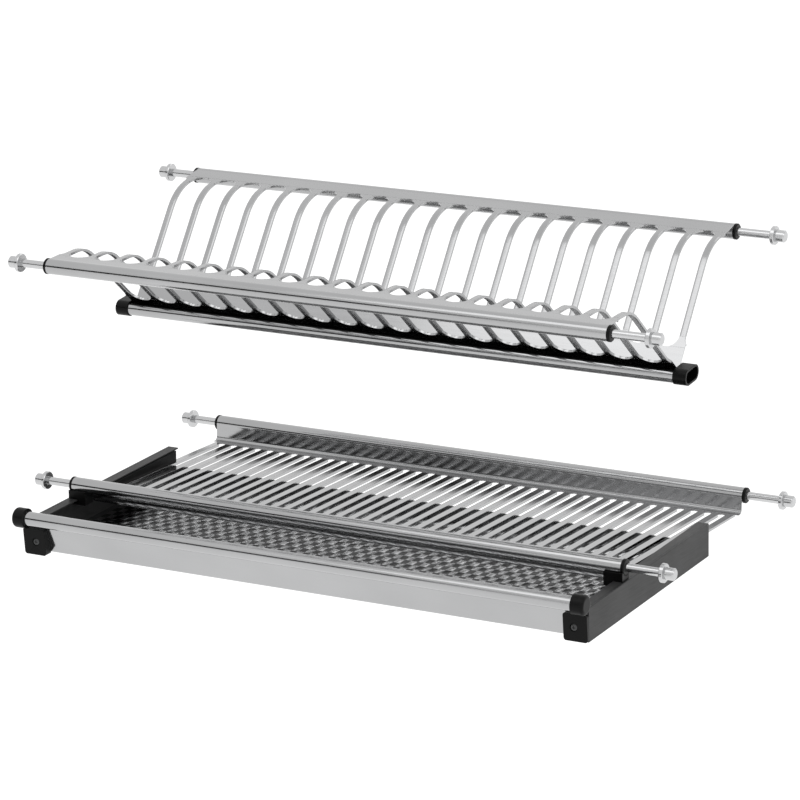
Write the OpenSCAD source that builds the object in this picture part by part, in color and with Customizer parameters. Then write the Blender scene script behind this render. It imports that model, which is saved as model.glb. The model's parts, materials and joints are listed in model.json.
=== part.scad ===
// Cabinet dish rack: a pressed plate rack over a slotted glass rack with a sliding drip tray.
// Sizes are in millimetres. The origin lies on the axis of the plate rack's front rail, in the
// plane of the left cabinet side. X runs right along the rails, Y to the back and Z up.

/* [Rails] */
// Length of each rolled rail, from end to end
rail_length = 591; // [391:1:991]
// Outer diameter of the rolled rails
rail_diameter = 15; // [13:0.5:20]
// Thickness of the stainless sheet that both racks and the tray are pressed from
sheet = 0.8; // [0.6:0.1:1]
// Distance from a rack's front rail back to its rear rail
rail_spread = 275; // [255:1:320]

/* [Plate rack] */
// Pitch of the plate ribs along the rails, taken to the nearest that fills the rails
rib_pitch = 29; // [26:0.5:40]
// Width of one plate rib
rib_width = 6; // [5:0.5:8]
// Depth of the turned edges of ribs and slots
rib_flange = 2.25; // [2:0.25:4]
// Height of the plate rack's rear rail over its front rail
rear_rail_rise = 42; // [30:1:60]
// Distance back from the front rail to the crest of the front ribs
crest_setback = 53; // [45:1:60]
// Height of the crest over the front rail's axis
crest_rise = 10.6; // [8:0.1:14]
// Distance back from the front rail to the valley that the plates stand in
valley_setback = 151; // [140:1:160]
// Depth of the valley under the front rail's axis
valley_drop = 66; // [55:1:80]
// Distance back from the front rail to the shoulder of the rear ribs
shoulder_setback = 222.5; // [215:0.5:230]
// Height of the shoulder over the front rail's axis
shoulder_rise = 37.3; // [32:0.1:42]

/* [Drip gutter] */
// Width of the gutter under the valley, front to back
gutter_width = 28; // [26:0.5:32]
// Height of the gutter
gutter_height = 13.5; // [12:0.5:16]
// Tilt of the gutter, its rear edge up, in degrees
gutter_tilt = 7; // [0:1:10]

/* [Glass rack] */
// Height of the plate rack's front rail over the glass rack's rails
rack_gap = 225; // [180:1:350]
// Distance that the glass rack stands back behind the plate rack
glass_setback = 37; // [0:1:60]
// Depth of the slotted shelf under the axis of the glass rack's rails
shelf_drop = 16.5; // [15:0.5:22]
// Pitch of the slots in the shelf
slot_pitch = 14.4; // [12:0.1:20]
// Width of one slot in the shelf
slot_width = 7; // [4.5:0.5:8]

/* [Drip tray] */
// Length of the tray's side profiles, front to back
tray_depth = 262; // [240:1:270]
// Height of the tray's side profiles
tray_height = 32.8; // [30:0.1:45]
// Distance that the tray's sides stand out past the rails' ends
tray_overhang = 4.5; // [4:0.5:8]
// Width of the flat lips that the tray hangs by
lip_width = 11.5; // [10:0.5:12]
// Fall of the tray towards its front, in degrees
tray_fall = 2.7; // [0:0.1:3]
// Depth of the lips under the axis of the glass rack's front rail, measured at that rail
tray_drop = 12.2; // [11:0.1:13]
// Distance that the tray's rolled front edge stands forward of the glass rack's front rail at rest
tray_forward = 92; // [80:1:110]
// Diameter of the rolled front edge of the tray
roll_diameter = 14; // [12:0.5:16]

/* [Mounting pins] */
// Diameter of the pins' rods
rod_diameter = 8; // [6:0.5:9]
// Diameter of the pins' tips, which go into the cabinet sides
tip_diameter = 11.6; // [9:0.1:12]
// Length of the tips
tip_length = 9.5; // [8:0.5:12]
// Diameter of the pins' collars
collar_diameter = 18; // [14:0.5:20]
// Thickness of the collars
collar_thickness = 4; // [2:0.5:5]
// Distance from a rail's left end to the cabinet side
left_reach = 35; // [25:1:50]
// Distance from a rail's right end to the cabinet side with the pins sprung out
right_reach = 42; // [32:1:60]
// Travel of the sprung pins
pin_travel = 14; // [10:1:16]

/* [Hidden] */
$fn = 48;

// Clearances: pieces pressed together, running fits, and pieces that pass each other
seat_gap = 0.03;
running_gap = 0.06;
passing_gap = 0.3;
// Cuts run past the faces that they leave open by this much
overrun = 5;
// Reach of the boxes that trim whole rows
far = 2000;

// Where the rails lie
rail_radius = rail_diameter / 2;
rail_bore = rail_diameter - 2 * sheet;
left_end = left_reach;
right_end = left_reach + rail_length;
rail_half = rail_length / 2;
middle = left_reach + rail_half;
plate_front = [0, 0];
plate_rear = [rail_spread, rear_rail_rise];
glass_front = [glass_setback, -rack_gap];
glass_rear = [glass_setback + rail_spread, -rack_gap];
rail_places = [plate_front, plate_rear, glass_front, glass_rear];
// The sheet leaves a rail a little inside its tangent
seam_depth = 0.15;

// Widest bend radii of the pressed plate rack, and the facets in each bend
crest_radius = 40;
valley_radius = 3;
shoulder_radius = 50;
crest_steps = 6;
valley_steps = 4;
shoulder_steps = 6;
// Sheet left between the rail or the valley and the round slot ends
front_strip = 14;
front_foot = 16;
rear_foot = 22;
rear_strip = 20;

// The end ribs stand a little inside the rails' ends
rib_margin = 2.5;
rib_row = rail_length - rib_width - 2 * rib_margin;
rib_count = round(rib_row / rib_pitch) + 1;
rib_step = rib_row / (rib_count - 1);
slot_radius = (rib_step - rib_width) / 2;

// Corners of the pressed profile, in Y and Z, on the side that the plates touch
front_top = plate_front + [0, rail_radius - seam_depth];
crest = [crest_setback, crest_rise];
valley = [valley_setback, -valley_drop];
shoulder = [shoulder_setback, shoulder_rise];
rear_top = plate_rear + [0, rail_radius - seam_depth];

// The bends end before the round slot ends begin
crest_room = norm(crest - front_top) - front_strip - slot_radius;
crest_bend = min(crest_radius, bend_within(front_top, crest, valley, crest_room));
shoulder_room = norm(shoulder - rear_top) - rear_strip - slot_radius;
shoulder_bend = min(shoulder_radius, bend_within(valley, shoulder, rear_top, shoulder_room));

// Where the strips meet the flared roots of the ribs, just short of the slot ends' deepest points
root_inset = 0.5;
front_split = along(front_top, crest, front_strip + root_inset);
front_foot_split = along(valley, crest, front_foot + root_inset);
rear_foot_split = along(valley, shoulder, rear_foot + root_inset);
rear_split = along(rear_top, shoulder, rear_strip + root_inset);

// Centres of the round slot ends
front_slot = along(front_top, crest, front_strip + slot_radius);
front_foot_slot = along(valley, crest, front_foot + slot_radius);
rear_foot_slot = along(valley, shoulder, rear_foot + slot_radius);
rear_slot = along(rear_top, shoulder, rear_strip + slot_radius);

// Where the flared roots meet the straight ribs, just short of those centres
root_lap = 0.1;
front_cut = along(front_slot, front_top, root_lap);
front_foot_cut = along(front_foot_slot, valley, root_lap);
rear_foot_cut = along(rear_foot_slot, valley, root_lap);
rear_cut = along(rear_slot, rear_top, root_lap);

profile = concat(
    [front_top, front_split, front_cut],
    bend(front_top, crest, valley, crest_bend, crest_steps),
    [front_foot_cut, front_foot_split],
    bend(crest, valley, shoulder, valley_radius, valley_steps),
    [rear_foot_split, rear_foot_cut],
    bend(valley, shoulder, rear_top, shoulder_bend, shoulder_steps),
    [rear_cut, rear_split, rear_top]
);
// Places in the profile
at_front_split = 1;
at_front_cut = 2;
at_front_foot_cut = at_front_cut + crest_steps + 2;
at_front_foot_split = at_front_foot_cut + 1;
at_valley = at_front_foot_split + 1 + valley_steps / 2;
at_rear_foot_split = at_front_foot_split + valley_steps + 2;
at_rear_foot_cut = at_rear_foot_split + 1;
at_rear_cut = at_rear_foot_cut + shoulder_steps + 2;
at_rear_split = at_rear_cut + 1;
at_rear_top = at_rear_cut + 2;

front_slope = slope(front_top, crest);
front_wall_slope = slope(crest, valley);
rear_wall_slope = slope(valley, shoulder);
rear_slope = slope(shoulder, rear_top);

// Gutter: a stainless shell with a plastic liner, and caps that carry it at the valley's ends
gutter_sink = 3;
gutter_place = valley - [0, gutter_sink];
// The shell's mouth is the wider one, so that the liner shows as a dark lip
gutter_mouth = 23;
liner_mouth = 18;
liner_wall = 1;
cap_length = 13.5;
cap_rim = 1;
cap_wall = 2;
cap_recess = 9;
cradle_length = 8;

// Glass rack: the shelf hangs between two low fences that leave the rails at their inner sides
fence_inset = rail_radius - seam_depth;
fence_bend = 4;
fence_steps = 4;
fold_lip = 6;
shelf_level = -rack_gap - shelf_drop;
shelf_front = glass_setback + fence_inset + fold_lip;
shelf_back = glass_setback + rail_spread - fence_inset - fold_lip;
shelf_inset = 4;
shelf_half = rail_half - shelf_inset;
shelf_hem = 1.5;
slot_margin = 5;
bar_flange = 2;
slot_count = floor(2 * shelf_half / slot_pitch);

// Bushes in the rail ends
bush_flange = 3;
bush_rim = 0.25;
bush_diameter = rail_diameter + 2 * bush_rim;
bush_plug = 14;
bush_chamfer = 0.8;

// Pins and what holds them in the rails
tip_chamfer = 1.2;
collar_chamfer = 0.6;
groove_depth = 0.8;
ring_thickness = 2;
ring_rim = 1.8;
ring_radius = rod_diameter / 2 + ring_rim;
rod_tail = 4;
stop_gap = 0.1;
wire_radius = 0.7;
coil_clearance = 0.6;
coil_radius = rod_diameter / 2 + coil_clearance + wire_radius;
coil_turns = 9;
rings_per_turn = 8;
wire_sides = 6;
spring_length = 38;
coil_rise = (spring_length - 2 * (wire_radius + seat_gap)) / coil_turns;
stop_thickness = 4;
// Depths inside a rail, from its end
ring_depth = bush_plug + stop_gap;
rod_depth = ring_depth + ring_thickness + rod_tail;
spring_depth = ring_depth + ring_thickness + passing_gap;
stop_depth = spring_depth + spring_length;

// Tray: its own frame stands at the lips' level under the glass rack's front rail and tilts with it
side_wall = 1.5;
side_ledge = 12;
tray_half = rail_half + tray_overhang;
lip_inner = tray_half - lip_width;
knob_rim = 2.7;
knob_diameter = roll_diameter + 2 * knob_rim;
knob_length = 12.8;
knob_overhang = 3.1;
knob_edge = 3;
knob_plug = 10;
roll_lift = 5.8;
roll_half = tray_half + knob_overhang - knob_length;
roll_place = [-tray_forward, roll_lift];
side_front = -tray_forward + knob_diameter / 2 + passing_gap;
side_back = side_front + tray_depth;
floor_level = side_wall - tray_height;
floor_half = tray_half - side_wall - passing_gap;
panel_lean = 9.5;
panel_bend = 3;
panel_steps = 4;
panel_foot = 6;
panel_top = [-tray_forward + roll_diameter / 2 - seam_depth, roll_lift];
panel_corner = [panel_top[0] + panel_lean, floor_level];
floor_front = panel_corner[0] + panel_foot;
rear_wall_height = 11.5;
corner_width = 24;
corner_lean = 2;
corner_cover = 4.5;
corner_gap = 2;
corner_round = 2.6;
corner_top = roll_lift - knob_diameter / 2 - corner_gap;
corner_front = side_front - corner_cover;
screw_inset = 13.5;
screw_level = (corner_top - tray_height) / 2;
screw_head = 7;
screw_shank = 3;
screw_recess = 1.6;
screw_length = 9;

// Guides that carry the tray's lips
guide_reach = 8;
guide_hem = 1;
runner_length = 160;
clip_wall = 3.4;
clip_depth = 9.5;

STEEL = [0.8, 0.81, 0.82];
SATIN = [0.72, 0.73, 0.74];
BLACK = [0.1, 0.1, 0.1];
GRAPHITE = [0.28, 0.28, 0.29];

// Unit vector from p to q
function heading(p, q) = (q - p) / norm(q - p);

// Point at distance d from p towards q
function along(p, q, d) = p + d * heading(p, q);

// Angle of the line from p to q
function slope(p, q) = atan2(q[1] - p[1], q[0] - p[0]);

// Vector v turned by an angle
function turned(v, angle) = [
    v[0] * cos(angle) - v[1] * sin(angle),
    v[0] * sin(angle) + v[1] * cos(angle)
];

// Points of a bend of one radius at corner b between a and c
function bend(a, b, c, radius, steps) =
    let (
        back = heading(b, a),
        ahead = heading(b, c),
        half = acos(back * ahead) / 2,
        centre = b + (back + ahead) / norm(back + ahead) * radius / sin(half),
        first = b + back * radius / tan(half) - centre,
        last = b + ahead * radius / tan(half) - centre,
        way = sign(cross(first, last))
    )
    [for (i = [0 : steps]) centre + turned(first, way * (180 - 2 * half) * i / steps)];

// Radius of the bend at corner b between a and c that takes up a given length of each side
function bend_within(a, b, c, room) = room * tan(acos(heading(b, a) * heading(b, c)) / 2);

// Left-hand normal of the line from p to q
function left_of(p, q) = turned(heading(p, q), 90);

// Point i of a path moved d to its left, mitred at corners
function beside(path, i, d) =
    let (
        last = len(path) - 1,
        before = left_of(path[max(i - 1, 0)], path[max(i, 1)]),
        after = left_of(path[min(i, last - 1)], path[min(i + 1, last)])
    )
    path[i] + d * (before + after) / (1 + before * after);

// Outline of a wall that follows a path from point i0 to point i1, between two offsets to its left
function wall(path, i0, i1, d0, d1) = concat(
    [for (i = [i0 : i1]) beside(path, i, d0)],
    [for (i = [i1 : -1 : i0]) beside(path, i, d1)]
);

// Outline of a wall along a whole path
function whole_wall(path, d0, d1) = wall(path, 0, len(path) - 1, d0, d1);

// X of the middle of rib i
function rib_x(i) = middle + (i - (rib_count - 1) / 2) * rib_step;

// Stretches a Y-Z outline along X from x0 to x1
module along_x(x0, x1) {
    translate([x0, 0, 0]) rotate([90, 0, 90]) linear_extrude(x1 - x0) children();
}

// Stretches an X-Z outline along Y from y0 to y1
module along_y(y0, y1) {
    translate([0, y1, 0]) rotate([90, 0, 0]) linear_extrude(y1 - y0) children();
}

// Round bar along X
module bar_x(place, x0, x1, diameter) {
    translate([x0, place[0], place[1]]) rotate([0, 90, 0]) cylinder(h = x1 - x0, d = diameter);
}

// Puts a piece, drawn from the rail's end outwards along Z, at the left or right end of a rail
module at_rail_end(place, side) {
    translate([side < 0 ? left_end : right_end, place[0], place[1]])
        rotate([0, side * 90, 0]) children();
}

// Puts a piece, drawn outwards from the middle plane along X, on the left or right side
module on_side(side) {
    translate([middle, 0, 0]) mirror([side < 0 ? 1 : 0, 0, 0]) children();
}

// Flat bar with round ends, centred
module stadium(width, height) {
    square([width - height, height], center = true);
    translate([(width - height) / 2, 0]) circle(d = height);
    translate([(height - width) / 2, 0]) circle(d = height);
}

// Pressed plate rack

// Repeats a piece at every slot end of one row, also at the half slots past the end ribs
module slot_ends(place, angle) {
    for (i = [-1 : rib_count - 1])
        translate([rib_x(i) + rib_step / 2, place[0], place[1]]) rotate([angle, 0, 0]) children();
}

// Body of the turned edge round one slot end
module slot_rim() {
    translate([0, 0, -rib_flange]) cylinder(h = rib_flange - sheet / 2, r = slot_radius + sheet);
}

// Band of the pressed sheet between two places of the profile, with the round slot ends and their
// turned edges as far as they lie in it
module pressed_band(i0, i1, place, angle) {
    difference() {
        union() {
            along_x(left_end, right_end) polygon(wall(profile, i0, i1, 0, -sheet));
            intersection() {
                along_x(left_end, right_end) polygon(wall(profile, i0, i1, 0, -rib_flange - sheet));
                slot_ends(place, angle) slot_rim();
            }
        }
        slot_ends(place, angle) cylinder(h = 2 * (rib_flange + overrun), r = slot_radius, center = true);
    }
}

// Channel-section ribs between two places of the profile
module channel_ribs(i0, i1) {
    for (i = [0 : rib_count - 1]) translate([rib_x(i), 0, 0]) {
        along_x(-rib_width / 2, rib_width / 2) polygon(wall(profile, i0, i1, 0, -sheet));
        for (edge = [-rib_width / 2, rib_width / 2 - sheet])
            along_x(edge, edge + sheet) polygon(wall(profile, i0, i1, 0, -rib_flange));
    }
}

// Rolled rail with the sheet that leaves it
module rolled_rail(place) {
    difference() {
        union() {
            bar_x(place, left_end, right_end, rail_diameter);
            children();
        }
        bar_x(place, left_end - overrun, right_end + overrun, rail_bore);
    }
}

module plate_front_rail() {
    color(STEEL) rolled_rail(plate_front)
        pressed_band(0, at_front_split, front_slot, front_slope);
}

module plate_front_roots() {
    color(STEEL) pressed_band(at_front_split, at_front_cut, front_slot, front_slope);
}

module plate_front_legs() {
    color(STEEL) channel_ribs(at_front_cut, at_front_foot_cut);
}

module plate_front_foot_roots() {
    color(STEEL) pressed_band(at_front_foot_cut, at_front_foot_split, front_foot_slot, front_wall_slope);
}

module plate_front_foot() {
    color(STEEL) pressed_band(at_front_foot_split, at_valley, front_foot_slot, front_wall_slope);
}

module plate_rear_foot() {
    color(STEEL) pressed_band(at_valley, at_rear_foot_split, rear_foot_slot, rear_wall_slope);
}

module plate_rear_foot_roots() {
    color(STEEL) pressed_band(at_rear_foot_split, at_rear_foot_cut, rear_foot_slot, rear_wall_slope);
}

module plate_rear_ribs() {
    color(STEEL) channel_ribs(at_rear_foot_cut, at_rear_cut);
}

module plate_rear_roots() {
    color(STEEL) pressed_band(at_rear_cut, at_rear_split, rear_slot, rear_slope);
}

module plate_rear_rail() {
    color(STEEL) rolled_rail(plate_rear)
        pressed_band(at_rear_split, at_rear_top, rear_slot, rear_slope);
}

// Drip gutter

// Gutter's own frame: its middle under the valley, tilted
module gutter_frame() {
    translate([0, gutter_place[0], gutter_place[1]]) rotate([gutter_tilt, 0, 0]) children();
}

// Cross-section of an open trough, its outer face a given distance inside the gutter's outline
module trough_section(inset, thickness, mouth) {
    difference() {
        stadium(gutter_width - 2 * inset, gutter_height - 2 * inset);
        stadium(gutter_width - 2 * (inset + thickness), gutter_height - 2 * (inset + thickness));
        translate([-mouth / 2, 0]) square([mouth, gutter_height]);
    }
}

module gutter_shell() {
    color(STEEL) gutter_frame() along_x(left_end, right_end) trough_section(0, sheet, gutter_mouth);
}

module gutter_liner() {
    color(BLACK) gutter_frame()
        along_x(left_end + cradle_length + passing_gap, right_end - cradle_length - passing_gap)
            trough_section(sheet + seat_gap, liner_wall, liner_mouth);
}

// End cap with a hollow outer face and a cradle inside the gutter that the valley's end rests in
module gutter_cap(side) {
    inner = rail_half - cradle_length;
    outer = rail_half + cap_length;
    recess_rim = cap_rim - cap_wall;
    color(BLACK) on_side(side) difference() {
        gutter_frame() union() {
            along_x(inner, rail_half + cap_wall)
                stadium(gutter_width - 2 * (sheet + seat_gap), gutter_height - 2 * (sheet + seat_gap));
            difference() {
                along_x(rail_half, outer)
                    stadium(gutter_width + 2 * cap_rim, gutter_height + 2 * cap_rim);
                along_x(outer - cap_recess, outer + overrun)
                    stadium(gutter_width + 2 * recess_rim, gutter_height + 2 * recess_rim);
            }
        }
        along_x(inner - overrun, rail_half + seat_gap)
            polygon([for (i = [at_front_foot_cut : at_rear_foot_cut]) beside(profile, i, -sheet - seat_gap)]);
    }
}

// Glass rack

function front_fence() =
    let (
        top = glass_front + [fence_inset, 0],
        corner = [top[0], shelf_level],
        end = [shelf_front, shelf_level]
    )
    concat([top], bend(top, corner, end, fence_bend, fence_steps), [end]);

function rear_fence() =
    let (
        start = [shelf_back, shelf_level],
        top = glass_rear - [fence_inset, 0],
        corner = [top[0], shelf_level]
    )
    concat([start], bend(start, corner, top, fence_bend, fence_steps), [top]);

module glass_front_rail() {
    // The fence stops short of the tray's lips, which pass over the shelf's front corners
    fence_half = lip_inner - 2 * passing_gap;
    color(STEEL) rolled_rail(glass_front)
        along_x(middle - fence_half, middle + fence_half) polygon(whole_wall(front_fence(), 0, -sheet));
}

module glass_rear_rail() {
    color(STEEL) rolled_rail(glass_rear)
        along_x(left_end, right_end) polygon(whole_wall(rear_fence(), 0, -sheet));
}

module glass_shelf() {
    depth = shelf_back - shelf_front;
    slot_length = depth - 2 * slot_margin;
    color(STEEL) translate([middle, shelf_front, shelf_level - sheet]) {
        linear_extrude(sheet) difference() {
            translate([-shelf_half, 0]) square([2 * shelf_half, depth]);
            shelf_slots() rotate(90) stadium(slot_length, slot_width);
        }
        translate([0, 0, -bar_flange]) linear_extrude(bar_flange)
            shelf_slots() slot_flanges(slot_length - slot_width);
        for (edge = [-shelf_half, shelf_half - sheet])
            translate([edge, 0, -shelf_hem]) cube([sheet, depth, shelf_hem]);
    }
}

// Repeats a flat shape, centred on the origin, at every slot of the shelf
module shelf_slots() {
    for (i = [0 : slot_count - 1])
        translate([(i - (slot_count - 1) / 2) * slot_pitch, (shelf_back - shelf_front) / 2]) children();
}

// Turned edges along both sides of one slot
module slot_flanges(length) {
    for (edge = [-slot_width / 2 - sheet, slot_width / 2])
        translate([edge, -length / 2]) square([sheet, length]);
}

// Bushes, pins and springs

// Round piece drawn as a half outline, radius first and height second
module turned_piece(outline) {
    rotate_extrude() polygon(outline);
}

// Plastic bush pressed into a rail's end, with a bore for the rod
module bush(bore) {
    plug = rail_bore / 2 - seat_gap;
    flange = bush_diameter / 2;
    turned_piece([
        [bore, -bush_plug], [plug, -bush_plug], [plug, 0], [flange, 0],
        [flange, bush_flange - bush_chamfer], [flange - bush_chamfer, bush_flange], [bore, bush_flange]
    ]);
}

module left_bushes() {
    color(BLACK) for (place = rail_places)
        at_rail_end(place, -1) bush(rod_diameter / 2 + seat_gap);
}

module right_bushes() {
    color(BLACK) for (place = rail_places)
        at_rail_end(place, 1) bush(rod_diameter / 2 + running_gap);
}

// Turned pin: rod with a ring groove, collar against the cabinet side and chamfered tip
module pin(reach) {
    rod = rod_diameter / 2;
    collar = collar_diameter / 2;
    tip = tip_diameter / 2;
    turned_piece([
        [0, -rod_depth], [rod, -rod_depth],
        [rod, -ring_depth - ring_thickness], [rod - groove_depth, -ring_depth - ring_thickness],
        [rod - groove_depth, -ring_depth], [rod, -ring_depth],
        [rod, reach - collar_thickness], [collar - collar_chamfer, reach - collar_thickness],
        [collar, reach - collar_thickness + collar_chamfer],
        [collar, reach - collar_chamfer], [collar - collar_chamfer, reach],
        [tip, reach], [tip, reach + tip_length - tip_chamfer],
        [tip - tip_chamfer, reach + tip_length], [0, reach + tip_length]
    ]);
}

module left_pin(place) {
    color(STEEL) at_rail_end(place, -1) pin(left_reach);
}

module right_pin(place) {
    color(STEEL) at_rail_end(place, 1) pin(right_reach);
}

// Ring in the rod's groove, which keeps the pin from leaving its bush
module ring() {
    hole = rod_diameter / 2 - groove_depth + seat_gap;
    turned_piece([
        [hole, seat_gap - ring_depth - ring_thickness], [ring_radius, seat_gap - ring_depth - ring_thickness],
        [ring_radius, -seat_gap - ring_depth], [hole, -seat_gap - ring_depth]
    ]);
}

module left_rings() {
    color(SATIN) for (place = rail_places) at_rail_end(place, -1) ring();
}

module right_ring(place) {
    color(SATIN) at_rail_end(place, 1) ring();
}

// Plug across the rail that the spring pushes against
module spring_stops() {
    color(SATIN) for (place = rail_places)
        at_rail_end(place, 1) translate([0, 0, -stop_depth - stop_thickness])
            cylinder(h = stop_thickness, d = rail_bore - 2 * seat_gap);
}

// Point on the spring's centre line after a number of turns
function coil_point(turns) = [
    coil_radius * cos(360 * turns), coil_radius * sin(360 * turns),
    -stop_depth + wire_radius + seat_gap + coil_rise * turns
];

// Compression spring between the ring and the stop
module coil_spring() {
    count = coil_turns * rings_per_turn;
    points = [for (k = [0 : count]) for (s = [0 : wire_sides - 1])
        let (
            turns = k / rings_per_turn,
            centre = coil_point(turns),
            out = [cos(360 * turns), sin(360 * turns), 0],
            angle = 360 * s / wire_sides
        )
        centre + wire_radius * (cos(angle) * out + [0, 0, sin(angle)])
    ];
    sides = [for (k = [0 : count - 1]) for (s = [0 : wire_sides - 1])
        let (
            a = k * wire_sides + s,
            b = k * wire_sides + (s + 1) % wire_sides,
            c = b + wire_sides,
            d = a + wire_sides
        )
        each [[a, b, c], [a, c, d]]
    ];
    bottom = [for (s = [1 : wire_sides - 2]) [0, s + 1, s]];
    first = count * wire_sides;
    top = [for (s = [1 : wire_sides - 2]) [first, first + s, first + s + 1]];
    polyhedron(points = points, faces = concat(sides, bottom, top), convexity = coil_turns);
}
echo(least_gap_between_coils = coil_rise - 2 * wire_radius);

module spring(place) {
    color(SATIN) at_rail_end(place, 1) coil_spring();
}

// Drip tray and its guides

// Tray's own frame: X from the middle plane, Y from the glass rack's front rail along the tray's fall,
// Z from the level of the lips' inner edges
module tray_frame() {
    translate([0, glass_front[0], glass_front[1] - tray_drop]) rotate([tray_fall, 0, 0]) children();
}

// Height of a line of the tray's frame at a given Y of the whole rack
function tray_line(level, y) =
    glass_front[1] - tray_drop + level / cos(tray_fall) + (y - glass_front[0]) * tan(tray_fall);

function side_outline() = [
    [tray_half - side_ledge, -tray_height], [tray_half, -tray_height], [tray_half, 0], [lip_inner, 0]
];

// Side profile: floor ledge, outer wall and a flat lip
module tray_side(side) {
    color(GRAPHITE) on_side(side) tray_frame()
        along_y(side_front, side_back) polygon(whole_wall(side_outline(), 0, side_wall));
}

function panel_path() =
    let (end = [floor_front, floor_level])
    concat([panel_top], bend(panel_top, panel_corner, end, panel_bend, panel_steps), [end]);

// Rolled front edge, and the leaning front panel that hangs from its back
module tray_front() {
    color(STEEL) translate([middle, 0, 0]) tray_frame() difference() {
        union() {
            bar_x(roll_place, -roll_half, roll_half, roll_diameter);
            along_x(-floor_half, floor_half) polygon(whole_wall(panel_path(), 0, sheet));
        }
        bar_x(roll_place, -roll_half - overrun, roll_half + overrun, roll_diameter - 2 * sheet);
        screw_places() along_y(corner_front - overrun, floor_front) circle(d = screw_shank + 2 * seat_gap);
        for (side = [-1, 1]) knob_room(side);
    }
}

// Room for a knob in the panel's upper corner
module knob_room(side) {
    mirror([side < 0 ? 1 : 0, 0, 0])
        bar_x(roll_place, roll_half, tray_half, knob_diameter + 2 * passing_gap);
}

module tray_floor() {
    color(STEEL) translate([middle, 0, 0]) tray_frame()
        translate([-floor_half, floor_front, floor_level])
            cube([2 * floor_half, side_back - floor_front, sheet]);
}

module tray_rear_wall() {
    color(STEEL) translate([middle, 0, 0]) tray_frame()
        translate([-floor_half, side_back - sheet, floor_level + sheet])
            cube([2 * floor_half, sheet, rear_wall_height - sheet]);
}

// Corner bracket: a block over the panel's end, and a cover in front of the side profile
module tray_corner(side) {
    face = [[corner_front, corner_top], [corner_front + corner_lean, -tray_height]];
    cover_back = min(side_front - seat_gap, panel_face(corner_top)[0]);
    color(BLACK) on_side(side) tray_frame() difference() {
        intersection() {
            union() {
                along_x(tray_half - corner_width, tray_half - side_ledge - seat_gap) polygon(concat(face, [
                    panel_face(-tray_height), panel_face(floor_level), panel_face(corner_top)
                ]));
                along_x(tray_half - side_ledge - 2 * seat_gap, tray_half) polygon(concat(face, [
                    [cover_back, -tray_height], [cover_back, corner_top]
                ]));
            }
            along_y(corner_front - overrun, floor_front) corner_outline();
        }
        screw_place() {
            along_y(corner_front - overrun, floor_front) circle(d = screw_shank + 2 * seat_gap);
            along_y(corner_front - overrun, screw_seat()) circle(d = screw_head + 2 * passing_gap);
        }
    }
}

// Outline of a corner bracket seen from the front, with round corners
module corner_outline() {
    inner = tray_half - corner_width;
    height = corner_top + tray_height;
    translate([inner + corner_round, -tray_height]) square([corner_width - 2 * corner_round, height]);
    translate([inner, corner_round - tray_height]) square([corner_width, height - 2 * corner_round]);
    for (x = [inner + corner_round, tray_half - corner_round])
        for (z = [corner_round - tray_height, corner_top - corner_round])
            translate([x, z]) circle(r = corner_round);
}

// Point just in front of the panel's face at a given level of the tray's frame
function panel_face(level) =
    let (share = (level - panel_top[1]) / (panel_corner[1] - panel_top[1]))
    [panel_top[0] + panel_lean * share - seat_gap, level];

// Y of the face that the screw heads rest on, in the tray's frame
function screw_seat() = corner_front + corner_lean / 2 + screw_recess;

module screw_place() {
    translate([tray_half - screw_inset, 0, screw_level]) children();
}

module screw_places() {
    for (side = [-1, 1]) mirror([side < 0 ? 1 : 0, 0, 0]) screw_place() children();
}

module tray_screws() {
    seat = screw_seat() - seat_gap;
    color(SATIN) translate([middle, 0, 0]) tray_frame() screw_places() {
        along_y(seat - screw_recess, seat) circle(d = screw_head);
        along_y(seat - screw_recess, seat + screw_length) circle(d = screw_shank);
    }
}

// Round end knob with a plug in the rolled edge
module tray_knob(side) {
    knob = knob_diameter / 2;
    plug = roll_diameter / 2 - sheet - seat_gap;
    rounding = bend([knob, 0], [knob, knob_length], [0, knob_length], knob_edge, panel_steps);
    color(BLACK) on_side(side) tray_frame() translate([roll_half, roll_place[0], roll_place[1]])
        rotate([0, 90, 0]) turned_piece(concat(
            [[0, -knob_plug], [plug, -knob_plug], [plug, seat_gap], [knob, seat_gap]],
            rounding, [[0, knob_length]]
        ));
}

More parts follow.
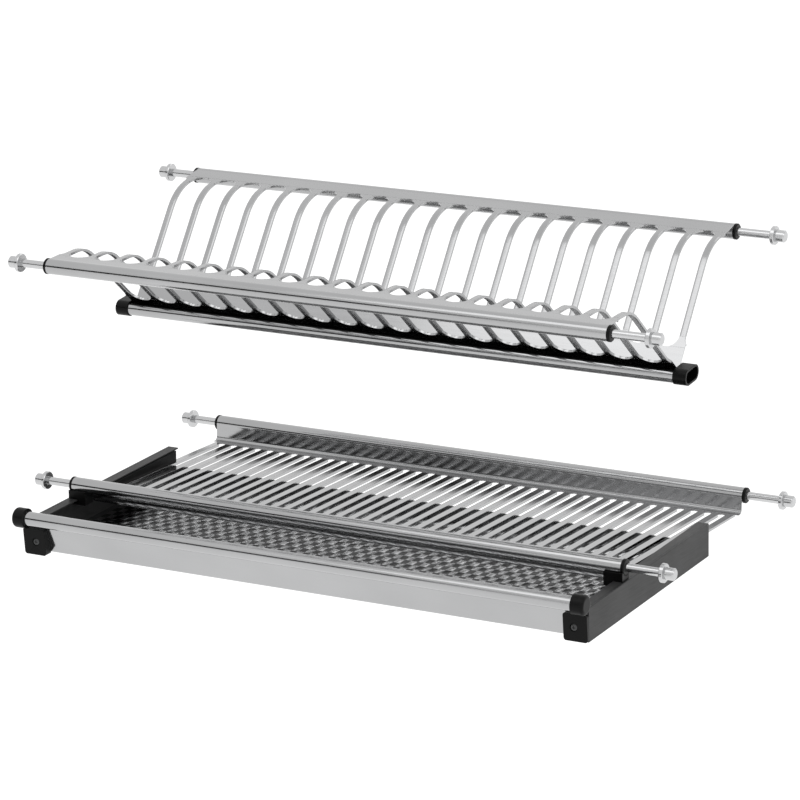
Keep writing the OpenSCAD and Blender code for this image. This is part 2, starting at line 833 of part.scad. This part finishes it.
// Guide: a runner on the shelf's edge that carries the tray's lip, joined round the end of the
// fence to a clip that hangs under the front rail and holds the lip from above and below
module tray_guide(side) {
    runner_inner = lip_inner - guide_hem;
    runner_outer = tray_half - side_wall - passing_gap;
    runner_front = shelf_front + guide_hem;
    runner_back = runner_front + runner_length;
    shelf_bottom = shelf_level - sheet - shelf_hem;
    under = side_wall + passing_gap;
    clip_inner = lip_inner - clip_depth;
    clip_top = tray_drop - rail_radius / 2;
    color(BLACK) on_side(side) {
        along_x(runner_inner, runner_outer) polygon([
            [runner_front, shelf_level + seat_gap], [runner_back, shelf_level + seat_gap],
            [runner_back, tray_line(-under, runner_back)], [runner_front, tray_line(-under, runner_front)]
        ]);
        along_x(shelf_half + seat_gap, runner_outer) polygon([
            [runner_front, shelf_bottom], [runner_back, shelf_bottom],
            [runner_back, shelf_level + guide_hem], [runner_front, shelf_level + guide_hem]
        ]);
        tray_frame() along_y(-guide_reach, runner_front - glass_setback + guide_hem) polygon([
            [rail_half + 2 * seat_gap, -under - clip_wall], [runner_outer, -under - clip_wall],
            [runner_outer, -under], [rail_half + 2 * seat_gap, -under]
        ]);
        difference() {
            tray_frame() along_y(-guide_reach, fence_inset - sheet - passing_gap) polygon([
                [clip_inner, -under - clip_wall], [runner_outer, -under - clip_wall],
                [runner_outer, -under], [lip_inner - passing_gap, -under],
                [lip_inner - passing_gap, passing_gap], [runner_outer, passing_gap],
                [runner_outer, clip_top], [clip_inner, clip_top]
            ]);
            bar_x(glass_front, clip_inner - overrun, rail_half + seat_gap, rail_diameter + 2 * seat_gap);
            bar_x(glass_front, rail_half - seat_gap, tray_half, bush_diameter + 2 * seat_gap);
        }
    }
}

plate_front_rail();
plate_front_roots();
plate_front_legs();
plate_front_foot_roots();
plate_front_foot();
plate_rear_foot();
plate_rear_foot_roots();
plate_rear_ribs();
plate_rear_roots();
plate_rear_rail();
gutter_shell();
gutter_liner();
gutter_cap(-1);  // gutter_cap_left
gutter_cap(1);  // gutter_cap_right
glass_front_rail();
glass_shelf();
glass_rear_rail();
left_bushes();
right_bushes();
left_rings();
spring_stops();
left_pin(plate_front);  // left_pin_plate_front
left_pin(plate_rear);  // left_pin_plate_rear
left_pin(glass_front);  // left_pin_glass_front
left_pin(glass_rear);  // left_pin_glass_rear
right_pin(plate_front);  // right_pin_plate_front
right_pin(plate_rear);  // right_pin_plate_rear
right_pin(glass_front);  // right_pin_glass_front
right_pin(glass_rear);  // right_pin_glass_rear
right_ring(plate_front);  // ring_plate_front
right_ring(plate_rear);  // ring_plate_rear
right_ring(glass_front);  // ring_glass_front
right_ring(glass_rear);  // ring_glass_rear
spring(plate_front);  // spring_plate_front
spring(plate_rear);  // spring_plate_rear
spring(glass_front);  // spring_glass_front
spring(glass_rear);  // spring_glass_rear
tray_guide(-1);  // guide_left
tray_guide(1);  // guide_right
tray_front();
tray_floor();
tray_rear_wall();
tray_side(-1);  // tray_side_left
tray_side(1);  // tray_side_right
tray_corner(-1);  // tray_corner_left
tray_corner(1);  // tray_corner_right
tray_knob(-1);  // tray_knob_left
tray_knob(1);  // tray_knob_right
tray_screws();
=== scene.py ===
# Looks of the cabinet dish rack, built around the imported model. Metres throughout.
import json
import math

import bmesh
import bpy
from mathutils import Matrix, Vector


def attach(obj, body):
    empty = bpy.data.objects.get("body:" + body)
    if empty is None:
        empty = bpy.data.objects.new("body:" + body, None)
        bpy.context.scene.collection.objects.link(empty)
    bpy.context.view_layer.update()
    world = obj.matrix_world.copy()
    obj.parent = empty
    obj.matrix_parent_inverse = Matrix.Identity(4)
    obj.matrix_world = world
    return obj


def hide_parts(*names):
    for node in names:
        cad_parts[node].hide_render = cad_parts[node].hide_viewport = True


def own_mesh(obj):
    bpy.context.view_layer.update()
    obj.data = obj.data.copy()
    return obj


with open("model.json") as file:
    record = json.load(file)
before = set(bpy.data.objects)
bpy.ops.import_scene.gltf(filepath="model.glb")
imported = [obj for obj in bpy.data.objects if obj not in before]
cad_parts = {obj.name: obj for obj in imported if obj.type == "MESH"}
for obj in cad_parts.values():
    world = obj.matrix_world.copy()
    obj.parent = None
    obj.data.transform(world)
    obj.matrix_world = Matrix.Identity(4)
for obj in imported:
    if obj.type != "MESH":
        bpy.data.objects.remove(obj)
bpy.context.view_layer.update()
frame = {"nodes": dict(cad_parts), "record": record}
NODES = frame["nodes"]
RECORD = frame["record"]
SLOT = {s["node"]: s["material_slot"] for s in RECORD["subparts"]}
BODY = {n: b for b, members in RECORD["behaviour"]["bodies"].items() for n in members}

# The tray's own frame: X from the middle plane, Y from the glass rack's front rail, Z from the lips
MID = 0.3305
FALL = math.radians(2.7)
TRAY = Matrix.Translation((MID, 0.037, -0.2372)) @ Matrix.Rotation(FALL, 4, "X")
TRAY_HALF = 0.300
# The painted shade of the crease along the side profiles' lips: its way in from the outer edge, and
# half its width
GROOVE_SHADE_INSET = 0.0021
GROOVE_SHADE_HALF = 0.00035
# Cells of the embossed floor: width, depth, height of the relief and faces a side; the plain border
CELL_WIDE = 0.007
CELL_LONG = 0.0105
CELL_RISE = 0.0002
CELL_STEPS = 4
FLOOR_BORDER = 0.006
# Pitch and width of the plate rack's ribs, and how far their rounded edges fall away
RIB_PITCH = 0.029
RIB_WIDTH = 0.006
RIB_DROP = 0.0003
# Screws: their place from the middle and from the lips; the corner brackets' front at its upper
# edge and half of its lean; the head's height, also the depth of its seat, and its radius
SCREW_X = 0.2865
SCREW_Z = -0.01935
BRACKET_FRONT = -0.0865
HALF_LEAN = 0.001
HEAD_HEIGHT = 0.0016
HEAD_RADIUS = 0.0035
# The dome's rim above the seat, and how much of its quarter round the dome takes up
HEAD_RIM = 0.0002
DOME_SHARE = 0.93
# Cross recess: half the width of an arm, half its length, and its depth
CROSS_HALF = 0.00045
CROSS_REACH = 0.0019
CROSS_DEPTH = 0.0009
# The shank's outline from the head's edge to its point, as radius and depth
SHANK = ((HEAD_RADIUS, 0.0), (0.0015, 0.0), (0.0015, 0.0088), (0.0008, 0.0094))
# The camera's focal length in pixels of an 800-pixel picture, its pitch and its yaw in degrees
FOCAL_PIXELS = 3851.96
PITCH_DOWN = 14.156
YAW = 28.40
# Edge rounding of the moulded pieces, which come in left and right pairs
ROUNDING = {"tray_corner": 0.0007, "gutter_cap": 0.0008, "guide": 0.0004, "tray_side": 0.0004}
# Sheet pieces with bends, besides those of the plate rack
BENT_RAILS = ("glass_front_rail", "glass_rear_rail", "tray_front")
# Studio: the point the lamps face, the floor's height, and the world's light on matt surfaces
LAMP_TARGET = (MID, 0.1, -0.1)
FLOOR_LEVEL = -1.45
WORLD_FILL = 0.55


# Camera
def make_camera():
    data = bpy.data.cameras.new("camera")
    data.sensor_width = 36
    data.lens = FOCAL_PIXELS * data.sensor_width / 800
    data.clip_start, data.clip_end = 0.1, 100
    cam = bpy.data.objects.new("camera", data)
    bpy.context.scene.collection.objects.link(cam)
    cam.location = (2.0402, -3.0047, 0.7755)
    cam.rotation_euler = (math.radians(90 - PITCH_DOWN), 0, math.radians(YAW))
    bpy.context.scene.camera = cam


make_camera()


# Materials
class Maker:
    """A material with its node tree, and short ways to add nodes to it."""

    def __init__(self, name):
        self.mat = bpy.data.materials.new(name)
        self.mat.use_nodes = True
        self.tree = self.mat.node_tree
        self.bsdf = self.tree.nodes["Principled BSDF"]

    def node(self, kind, **values):
        n = self.tree.nodes.new(kind)
        for key, value in values.items():
            if key in n.inputs:
                n.inputs[key].default_value = value
            else:
                setattr(n, key, value)
        return n

    def link(self, a, b):
        self.tree.links.new(a, b)

    def coords(self, scale):
        """Object coordinates, scaled differently along each axis."""
        tc = self.node("ShaderNodeTexCoord")
        mp = self.node("ShaderNodeMapping")
        mp.inputs["Scale"].default_value = scale
        self.link(tc.outputs["Object"], mp.inputs["Vector"])
        return mp.outputs["Vector"]

    def noise(self, scale, detail=3.0, roughness=0.55):
        """Noise, mostly between 0.3 and 0.7. The scale is features per metre along each axis."""
        n = self.node("ShaderNodeTexNoise")
        n.inputs["Scale"].default_value = 1.0
        n.inputs["Detail"].default_value = detail
        n.inputs["Roughness"].default_value = roughness
        self.link(self.coords(scale), n.inputs["Vector"])
        return n.outputs["Fac"]

    def span(self, value, low, high):
        """Noise spread over the values from low to high."""
        m = self.node("ShaderNodeMapRange")
        m.inputs["From Min"].default_value = 0.3
        m.inputs["From Max"].default_value = 0.7
        m.inputs["To Min"].default_value = low
        m.inputs["To Max"].default_value = high
        self.link(value, m.inputs["Value"])
        return m.outputs["Result"]

    def math(self, kind, a, b=None, c=None):
        m = self.node("ShaderNodeMath", operation=kind)
        for i, v in enumerate((a, b, c)):
            if v is None:
                continue
            if isinstance(v, (int, float)):
                m.inputs[i].default_value = v
            else:
                self.link(v, m.inputs[i])
        return m.outputs[0]

    def object_x(self):
        """Distance along X from the middle plane."""
        tc = self.node("ShaderNodeTexCoord")
        xyz = self.node("ShaderNodeSeparateXYZ")
        self.link(tc.outputs["Object"], xyz.inputs["Vector"])
        return self.math("SUBTRACT", xyz.outputs["X"], MID)

    def mix(self, fac, a, b):
        m = self.node("ShaderNodeMix", data_type="RGBA")
        m.inputs["A"].default_value = (*a, 1)
        m.inputs["B"].default_value = (*b, 1)
        self.link(fac, m.inputs["Factor"])
        return m.outputs["Result"]

    def relief(self, height, distance, strength, edge):
        """Fine relief over edges that the edge radius softens."""
        bevel = self.node("ShaderNodeBevel", samples=4)
        bevel.inputs["Radius"].default_value = edge
        bump = self.node("ShaderNodeBump")
        bump.inputs["Strength"].default_value = strength
        bump.inputs["Distance"].default_value = distance
        self.link(height, bump.inputs["Height"])
        self.link(bevel.outputs["Normal"], bump.inputs["Normal"])
        self.link(bump.outputs["Normal"], self.bsdf.inputs["Normal"])


def grey(v):
    """A grey that is slightly blue."""
    return (v, v * 1.005, v * 1.015)


def steel(name, tone, spread, rough, grain, edge, wave=0.0, ribs=False):
    """Polished sheet or turned metal: fine drawn lines, cloudy polish and softened edges.

    Grain is the scale of the lines, wave the strength of the sheet's slow unevenness against them.
    """
    m = Maker(name)
    m.bsdf.inputs["Metallic"].default_value = 1.0
    lines = m.noise(grain, 4.0, 0.6)
    clouds = m.noise((9, 13, 13), 2.0)
    m.link(
        m.mix(m.span(clouds, 0, 1), grey(tone - spread), grey(tone + spread)),
        m.bsdf.inputs["Base Color"],
    )
    polish = m.span(lines, rough * 0.75, rough * 1.3)
    smear = m.span(clouds, 0.85, 1.2)
    m.link(m.math("MULTIPLY", polish, smear), m.bsdf.inputs["Roughness"])
    height = lines
    if wave:
        slow = m.noise((5, 38, 38), 1.0)
        height = m.math("MULTIPLY_ADD", slow, wave, lines)
    m.relief(height, distance=0.00002, strength=0.2, edge=edge)
    if ribs:
        rounded_ribs(m)
    return m.mat


def rounded_ribs(m):
    """Rounds the pressed ribs across their width, under the fine relief that m already has."""
    off = m.math("PINGPONG", m.object_x(), RIB_PITCH / 2)
    share = m.math("DIVIDE", off, RIB_WIDTH / 2)
    drop = m.math("MULTIPLY", m.math("POWER", share, 4.0), -RIB_DROP)
    fine = m.bsdf.inputs["Normal"].links[0].from_node
    under = fine.inputs["Normal"].links[0].from_socket
    bump = m.node("ShaderNodeBump")
    bump.inputs["Strength"].default_value = 1.0
    bump.inputs["Distance"].default_value = 1.0
    m.link(drop, bump.inputs["Height"])
    m.link(under, bump.inputs["Normal"])
    m.link(bump.outputs["Normal"], fine.inputs["Normal"])


def plastic(name, tone, rough, grain, edge, specular, streaks=None):
    """Moulded or extruded plastic with a fine satin skin, and its colour in streaks or clouds."""
    m = Maker(name)
    m.bsdf.inputs["Specular IOR Level"].default_value = specular
    skin = m.noise(grain, 3.0)
    clouds = m.noise((16, 16, 16), 2.0)
    tint = clouds if streaks is None else m.noise(streaks, 3.0)
    colour = m.mix(m.span(tint, 0, 1), grey(tone * 0.82), grey(tone * 1.18))
    m.link(colour, m.bsdf.inputs["Base Color"])
    polish = m.span(skin, rough * 0.85, rough * 1.15)
    smear = m.span(clouds, 0.9, 1.12)
    m.link(m.math("MULTIPLY", polish, smear), m.bsdf.inputs["Roughness"])
    m.relief(skin, distance=0.00004, strength=0.3, edge=edge)
    return m


MATERIAL = {
    "pressed_steel": steel(
        "polished_sheet", 0.4, 0.02, rough=0.13, grain=(10, 700, 700), edge=0.0003, wave=3.0
    ),
    "turned_steel": steel(
        "turned_steel", 0.52, 0.03, rough=0.17, grain=(1200, 30, 30), edge=0.0003
    ),
    "small_steel": steel(
        "plain_wire", 0.42, 0.03, rough=0.3, grain=(900, 900, 900), edge=0.0002
    ),
    "black_plastic": plastic(
        "black_moulding", 0.004, rough=0.34, grain=(2300, 2300, 2300), edge=0.0007, specular=0.12
    ).mat,
}
RIBBED_SHEET = steel(
    "ribbed_sheet", 0.4, 0.02, rough=0.2, grain=(10, 700, 700), edge=0.0003, wave=2.0, ribs=True
)
BENT_SHEET = steel("bent_sheet", 0.4, 0.02, rough=0.2, grain=(10, 500, 500), edge=0.0012)
# Lit and shaded copies of the floor's one steel: a painted highlight for the raised cells, painted
# shade for the sunk cells
CHECK_PAINTED_HIGHLIGHT = steel("check_painted_highlight", 0.72, 0.02, rough=0.16, grain=(700, 700, 700), edge=0.0003)
CHECK_PAINTED_SHADE = steel("check_painted_shade", 0.08, 0.01, rough=0.16, grain=(700, 700, 700), edge=0.0003)
# Near-black steel for the screws
NEAR_BLACK_STEEL = steel("near_black_screw", 0.07, 0.01, rough=0.3, grain=(900, 900, 900), edge=0.0002)


def profile_grey():
    """The tray's extruded sides: long faint streaks, and painted shade along the lip's outer edge
    where the crease is.
    """
    m = plastic(
        "grey_profile", 0.038, rough=0.42, grain=(2600, 60, 2600), edge=0.0005, specular=0.2,
        streaks=(1500, 9, 1500),
    )
    out = m.math("ABSOLUTE", m.object_x())
    away = m.math("ABSOLUTE", m.math("SUBTRACT", out, TRAY_HALF - GROOVE_SHADE_INSET))
    # A thin band of painted shade standing for the crease by the lip's outer edge
    groove_shade = m.math("LESS_THAN", away, GROOVE_SHADE_HALF)
    old = m.bsdf.inputs["Base Color"].links[0].from_socket
    mix = m.node("ShaderNodeMix", data_type="RGBA")
    m.link(groove_shade, mix.inputs["Factor"])
    m.link(old, mix.inputs["A"])
    # Near black: the colour of the painted crease shade
    mix.inputs["B"].default_value = (0.008, 0.008, 0.008, 1)
    m.link(mix.outputs["Result"], m.bsdf.inputs["Base Color"])
    return m.mat


MATERIAL["grey_plastic"] = profile_grey()


def dress(obj, material):
    obj.data.materials.clear()
    obj.data.materials.append(material)


for name, node in NODES.items():
    dress(node, MATERIAL[SLOT[name]])
for name in ("plate_front_legs", "plate_rear_ribs"):
    dress(NODES[name], RIBBED_SHEET)
for name in ("plate_front_roots", "plate_rear_roots", "plate_rear_rail"):
    dress(NODES[name], BENT_SHEET)


# Pieces made here
def new_piece(name, bm, slot_name, body, stands_for=(), smooth=35):
    """A piece of its own. Edges that turn by more than smooth degrees stay sharp."""
    mesh = bpy.data.meshes.new(name)
    bmesh.ops.recalc_face_normals(bm, faces=bm.faces)
    bm.to_mesh(mesh)
    bm.free()
    obj = bpy.data.objects.new(name, mesh)
    bpy.context.scene.collection.objects.link(obj)
    mesh.shade_smooth()
    mesh.set_sharp_from_angle(angle=math.radians(smooth))
    mesh.materials.append(MATERIAL[slot_name])
    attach(obj, body)
    if stands_for:
        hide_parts(*stands_for)
    return obj


def clean_copy(node):
    """A copy of a CAD node in its place, with the flat faces whole and the bends smooth."""
    bm = bmesh.new()
    bm.from_mesh(NODES[node].data)
    bmesh.ops.remove_doubles(bm, verts=bm.verts, dist=1e-6)
    bmesh.ops.dissolve_limit(
        bm, angle_limit=math.radians(1), verts=bm.verts, edges=bm.edges
    )
    obj = new_piece(node + "_skin", bm, SLOT[node], BODY[node], (node,))
    dress(obj, NODES[node].data.materials[0])
    return obj


def smooth_copy(node):
    """A pressed sheet whose bends catch the light as curves."""
    even = clean_copy(node).modifiers.new("even_light", "WEIGHTED_NORMAL")
    even.keep_sharp = True
    even.weight = 80


def pressed_spring(node):
    """A copy of a pin's spring, as a piece with a mesh of its own."""
    bm = bmesh.new()
    bm.from_mesh(NODES[node].data)
    obj = new_piece(node + "_coil", bm, SLOT[node], BODY[node], (node,))
    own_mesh(obj)


def rounded_copy(node, width):
    """A moulded piece with its sharp edges rounded."""
    bevel = clean_copy(node).modifiers.new("rounding", "BEVEL")
    bevel.width = width
    bevel.segments = 3
    bevel.limit_method = "ANGLE"
    bevel.angle_limit = math.radians(40)
    bevel.use_clamp_overlap = True


def tray_box(name):
    """Low and high corner of a CAD node in the tray's own frame."""
    points = [TRAY.inverted() @ v.co for v in NODES[name].data.vertices]
    return [[pick(p[axis] for p in points) for axis in range(3)] for pick in (min, max)]


def tray_floor():
    """The tray's floor, embossed in a check of low pillows, raised and sunk; raised cells carry a
    painted highlight, sunk cells painted shade.
    """
    (left, front, under), (right, back, level) = tray_box("tray_floor")
    across = int((right - left - 2 * FLOOR_BORDER) / CELL_WIDE)
    deep = int((back - front - 2 * FLOOR_BORDER) / CELL_LONG)
    x0 = (left + right - across * CELL_WIDE) / 2
    y0 = (front + back - deep * CELL_LONG) / 2

    def marks(start, side, count, low, high):
        inner = [start + i * side / CELL_STEPS for i in range(count * CELL_STEPS + 1)]
        return [low] + inner + [high]

    def height(u, v):
        if not (x0 <= u <= x0 + across * CELL_WIDE and y0 <= v <= y0 + deep * CELL_LONG):
            return level
        wave_x = math.sin(math.pi * (u - x0) / CELL_WIDE)
        wave_y = math.sin(math.pi * (v - y0) / CELL_LONG)
        return level + CELL_RISE * wave_x * wave_y

    bm = bmesh.new()
    columns = marks(x0, CELL_WIDE, across, left, right)
    rows = [
        [bm.verts.new(TRAY @ Vector((u, v, height(u, v)))) for u in columns]
        for v in marks(y0, CELL_LONG, deep, front, back)
    ]
    for j, (a, b) in enumerate(zip(rows, rows[1:])):
        for i, (p, q, r, s) in enumerate(zip(a, a[1:], b[1:], b)):
            face = bm.faces.new((p, q, r, s))
            if 0 < i <= across * CELL_STEPS and 0 < j <= deep * CELL_STEPS:
                cell = (i - 1) // CELL_STEPS + (j - 1) // CELL_STEPS
                # Raised cells take the steel with the painted highlight, sunk cells the steel with
                # the painted shade
                face.material_index = 1 + cell % 2
    base = [
        bm.verts.new(TRAY @ Vector((u, v, under)))
        for u, v in ((left, front), (right, front), (right, back), (left, back))
    ]
    bm.faces.new(base[::-1])
    edges = [rows[0], [r[-1] for r in rows], rows[-1][::-1], [r[0] for r in rows][::-1]]
    for k, edge in enumerate(edges):
        bm.faces.new(edge + [base[(k + 1) % 4], base[k]])
    obj = new_piece("tray_floor_embossed", bm, "pressed_steel", "drip_tray", ("tray_floor",), 60)
    obj.data.materials.append(CHECK_PAINTED_HIGHLIGHT)
    obj.data.materials.append(CHECK_PAINTED_SHADE)


def screw(sign):
    """Domed head with a cross recess and its shank, in the corner bracket's round seat."""
    bm = bmesh.new()
    seat = BRACKET_FRONT + HALF_LEAN + HEAD_HEIGHT
    place = TRAY @ Matrix.Translation((sign * SCREW_X, seat, SCREW_Z))
    rings, count = 12, 48

    def height(x, z):
        share = math.hypot(x, z) / HEAD_RADIUS
        dome = HEAD_HEIGHT * math.sqrt(max(0.0, 1 - (DOME_SHARE * share) ** 2)) + HEAD_RIM
        arm = min(abs(x), abs(z)) / CROSS_HALF
        reach = max(abs(x), abs(z)) / CROSS_REACH
        cut = max(0.0, 1 - arm**4) * max(0.0, 1 - reach**3)
        return min(dome, HEAD_HEIGHT) - CROSS_DEPTH * cut

    def ring(radius, depth=None):
        """A ring of corners at a depth behind the seat, or else on the domed head."""
        loop = []
        for i in range(count):
            a = 2 * math.pi * i / count
            x, z = radius * math.cos(a), radius * math.sin(a)
            y = -height(x, z) if depth is None else depth
            loop.append(bm.verts.new(place @ Vector((x, y, z))))
        return loop

    loops = [[bm.verts.new(place @ Vector((0, -height(0, 0), 0)))]]
    loops += [ring(HEAD_RADIUS * k / rings) for k in range(1, rings + 1)]
    loops += [ring(radius, depth) for radius, depth in SHANK]
    for i in range(count):
        bm.faces.new((loops[0][0], loops[1][i], loops[1][(i + 1) % count]))
    for a, b in zip(loops[1:], loops[2:]):
        for i in range(count):
            j = (i + 1) % count
            bm.faces.new((a[i], b[i], b[j], a[j]))
    bm.faces.new(loops[-1])
    return bm


def tray_screws():
    for sign, word in ((-1, "left"), (1, "right")):
        obj = new_piece("tray_screw_" + word, screw(sign), "small_steel", "drip_tray", (), 40)
        dress(obj, NEAR_BLACK_STEEL)
        if sign < 0:
            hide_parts("tray_screws")


tray_floor()
tray_screws()
for pair, width in ROUNDING.items():
    rounded_copy(pair + "_left", width)
    rounded_copy(pair + "_right", width)
for name in NODES:
    if name.startswith("plate_") or name in BENT_RAILS:
        smooth_copy(name)
for joint in RECORD["behaviour"]["joints"]:
    for spring in joint.get("deforming_nodes", ()):
        pressed_spring(spring["node"])


# Studio
def matt(name, tone):
    """A matt grey for the studio."""
    m = Maker(name)
    m.bsdf.inputs["Base Color"].default_value = (tone, tone, tone, 1)
    m.bsdf.inputs["Roughness"].default_value = 0.9
    m.bsdf.inputs["Specular IOR Level"].default_value = 0.0
    return m


def seen_ray(tree):
    """1 where a ray comes from the camera, a reflection or a transmission, otherwise 0."""
    path = tree.nodes.new("ShaderNodeLightPath")
    seen = path.outputs["Is Camera Ray"]
    for other in ("Is Glossy Ray", "Is Transmission Ray"):
        either = tree.nodes.new("ShaderNodeMath")
        either.operation = "MAXIMUM"
        tree.links.new(seen, either.inputs[0])
        tree.links.new(path.outputs[other], either.inputs[1])
        seen = either.outputs[0]
    return seen


def floor_material():
    """White floor: it keeps its shadows, and looks white to the camera and in reflections."""
    m = matt("studio_floor", 0.86)
    m.bsdf.inputs["Emission Color"].default_value = (1, 1, 1, 1)
    m.link(m.math("MULTIPLY", seen_ray(m.tree), 0.7), m.bsdf.inputs["Emission Strength"])
    return m.mat


def stage_plane(name, size, location, rotation, material):
    """A flat rectangle of the studio, turned by degrees about its middle."""
    mesh = bpy.data.meshes.new(name)
    a, b = size[0] / 2, size[1] / 2
    mesh.from_pydata([(-a, -b, 0), (a, -b, 0), (a, b, 0), (-a, b, 0)], [], [(0, 1, 2, 3)])
    obj = bpy.data.objects.new(name, mesh)
    bpy.context.scene.collection.objects.link(obj)
    obj.location = location
    obj.rotation_euler = [math.radians(r) for r in rotation]
    mesh.materials.append(material)
    return obj


def lamp(name, location, size, power):
    """A soft rectangular lamp that faces the middle of the racks."""
    data = bpy.data.lights.new(name, "AREA")
    data.shape = "RECTANGLE"
    data.size, data.size_y = size
    data.energy = power
    obj = bpy.data.objects.new(name, data)
    bpy.context.scene.collection.objects.link(obj)
    obj.location = location
    way = Vector(LAMP_TARGET) - Vector(location)
    obj.rotation_euler = way.to_track_quat("-Z", "Y").to_euler()


def studio():
    stage_plane("floor", (60, 60), (0, 0, FLOOR_LEVEL), (0, 0, 0), floor_material())

    card = matt("dark_card", 0.03).mat
    flag = stage_plane("dark_card_front", (3.0, 1.7), (-3.35, -4.6, 1.0), (90, 0, 0), card)
    flag.visible_camera = False

    lamp("key", (-0.05, -1.8, 2.9), (2.6, 1.8), 14)
    lamp("side", (2.9, -0.6, 1.9), (1.8, 1.8), 10)
    lamp("back", (0.9, 2.6, 2.6), (2.6, 1.8), 10)

    world = bpy.data.worlds.new("world")
    bpy.context.scene.world = world
    world.use_nodes = True
    tree = world.node_tree
    back = tree.nodes["Background"]
    back.inputs["Color"].default_value = (1, 1, 1, 1)
    level = tree.nodes.new("ShaderNodeMapRange")
    level.inputs["To Min"].default_value = WORLD_FILL
    level.inputs["To Max"].default_value = 1.0
    tree.links.new(seen_ray(tree), level.inputs["Value"])
    tree.links.new(level.outputs["Result"], back.inputs["Strength"])


studio()
bpy.context.scene.view_settings.view_transform = "Standard"
